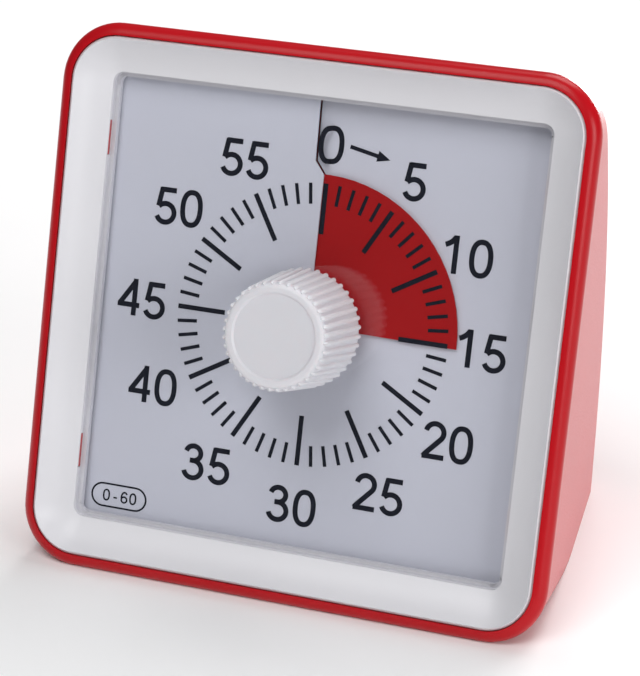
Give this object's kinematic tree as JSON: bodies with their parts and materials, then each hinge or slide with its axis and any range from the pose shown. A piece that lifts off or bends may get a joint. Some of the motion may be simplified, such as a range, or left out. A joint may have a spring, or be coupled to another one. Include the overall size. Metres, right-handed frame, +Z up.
{
  "type": "visual countdown timer",
  "caption": "Square-faced desk timer: a red disc comes out of a slit in the dial card and shows the time left. Knob-set, with a battery movement in a wedge-shaped red case.",
  "frame": {"origin": "centre of the bounding box, at the flat base", "axes": "+Z up, +X to the right seen from the front, the dial faces -Y and leans back 18 degrees"},
  "size_m": [0.084, 0.0554, 0.0798],
  "materials": {
    "red_case": "glossy rim, fine spark texture on the sides",
    "white_bezel": "satin",
    "clear_window": "polished clear plastic",
    "dial_print": "pale blue-grey card, printed",
    "disc_red": "matt",
    "white_plastic": "satin",
    "knob_white": "satin",
    "steel": "turned",
    "black_oxide": "dark oxide",
    "brass_wheel": "stamped",
    "spring_bronze": "stamped",
    "nylon": "moulded",
    "magnet": "bonded magnet",
    "lamination": "stamped",
    "bobbin_plastic": "moulded",
    "copper_wire": "enamelled copper winding",
    "movement_plastic": "moulded",
    "board_green": "solder mask",
    "chip_black": "moulded",
    "crystal_can": "plated can",
    "sounder_black": "moulded",
    "battery_jacket": "plain printed jacket",
    "nickel": "nickel plated",
    "lead_red": "pvc sleeve",
    "lead_black": "pvc sleeve",
    "switch_black": "moulded",
    "zinc_screw": "zinc plated"
  },
  "bodies": {
    "housing": {"rear_shell": "red_case", "front_bezel": "white_bezel", "window": "clear_window", "dial_card": "dial_print", "dial_tray": "red_case", "stator": "lamination", "coil_bobbin": "bobbin_plastic", "coil_winding": "copper_wire", "movement_front": "movement_plastic", "movement_rear": "movement_plastic", "movement_screws": "zinc_screw", "circuit_board": "board_green", "control_chip": "chip_black", "quartz_crystal": "crystal_can", "buzzer": "sounder_black", "battery": "battery_jacket", "contact_positive": "nickel", "contact_negative": "nickel", "lead_positive": "lead_red", "lead_negative": "lead_black", "switch_body": "switch_black", "case_screws": "zinc_screw"},
    "setting": {"knob": "knob_white", "spindle": "steel", "centre_wheel": "brass_wheel", "clutch_washer": "spring_bronze", "retaining_clip": "black_oxide"},
    "disc": {"time_disc": "disc_red", "disc_hub": "white_plastic"},
    "third": {"third_wheel": "brass_wheel"},
    "fourth": {"fourth_wheel": "brass_wheel"},
    "intermediate": {"intermediate_wheel": "nylon"},
    "motor": {"rotor": "magnet"},
    "door": {"battery_door": "red_case"},
    "switch": {"switch_slider": "white_plastic"}
  },
  "joints": [
    {"name": "knob_turn", "type": "hinge", "parent": "housing", "child": "setting", "pos_m": [0, -0.00954, 0.03851], "axis": [0, 0.9511, -0.309], "range_deg": [-90, 270]},
    {"name": "disc_climb", "type": "slide", "parent": "setting", "child": "disc", "axis": [0, -0.9511, 0.309], "range_m": [-0.0003, 0.0009]},
    {"name": "third_turn", "type": "hinge", "parent": "housing", "child": "third", "pos_m": [-0.0099, -0.01259, 0.02909], "axis": [0, 0.9511, -0.309], "range_deg": [-1620, 540]},
    {"name": "fourth_turn", "type": "hinge", "parent": "housing", "child": "fourth", "pos_m": [-0.00003, -0.0137, 0.02568], "axis": [0, 0.9511, -0.309], "range_deg": [-3240, 9720]},
    {"name": "intermediate_turn", "type": "hinge", "parent": "housing", "child": "intermediate", "pos_m": [0.01037, -0.01416, 0.02429], "axis": [0, 0.9511, -0.309], "range_deg": [-48600, 16200]},
    {"name": "rotor_turn", "type": "hinge", "parent": "housing", "child": "motor", "pos_m": [0.01375, -0.01128, 0.03314], "axis": [0, 0.9511, -0.309], "range_deg": [-162000, 486000]},
    {"name": "door_swing", "type": "hinge", "parent": "housing", "child": "door", "pos_m": [0, 0.02583, 0.0076], "axis": [-1, 0, 0], "range_deg": [0, 85]},
    {"name": "switch_slide", "type": "slide", "parent": "housing", "child": "switch", "axis": [1, 0, 0], "range_m": [0, 0.0032]}
  ],
  "couplings": [
    {"joint": "disc_climb", "follows": "knob_turn", "m_per_rad": 0.00019099},
    {"joint": "third_turn", "follows": "knob_turn", "ratio": -6},
    {"joint": "fourth_turn", "follows": "knob_turn", "ratio": 36},
    {"joint": "intermediate_turn", "follows": "knob_turn", "ratio": -180},
    {"joint": "rotor_turn", "follows": "knob_turn", "ratio": 1800}
  ]
}
